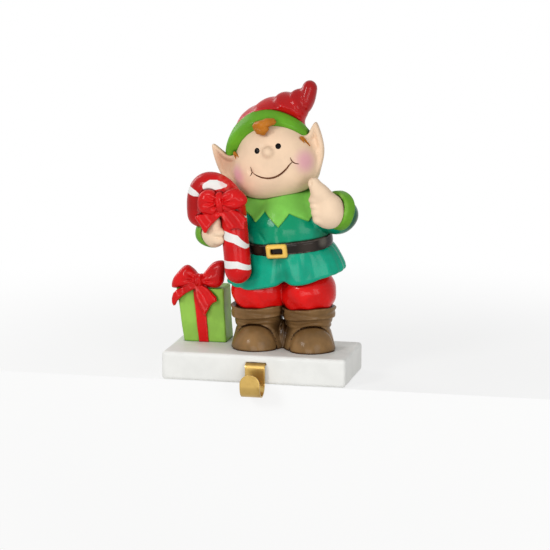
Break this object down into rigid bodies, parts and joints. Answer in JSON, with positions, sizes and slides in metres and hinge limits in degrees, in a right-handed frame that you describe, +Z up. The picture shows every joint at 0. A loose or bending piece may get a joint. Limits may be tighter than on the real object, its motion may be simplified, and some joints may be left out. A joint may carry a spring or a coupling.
{
  "type": "mantel stocking holder",
  "caption": "Cast figure of an elf with a gift and a candy cane on a heavy block that rests on a mantel, with a bent brass hook at the front for a stocking's loop.",
  "frame": {"origin": "middle of the block's flat underside, where it meets the mantel", "axes": "+Z up, -Y towards the front with the hook, +X to the right seen from the front"},
  "size_m": [0.1233, 0.0762, 0.1932],
  "materials": {
    "painted_resin": "hand-painted gloss on cast resin",
    "brass": "polished"
  },
  "bodies": {
    "root": {"figure_casting": "painted_resin", "hook": "brass"}
  },
  "joints": []
}
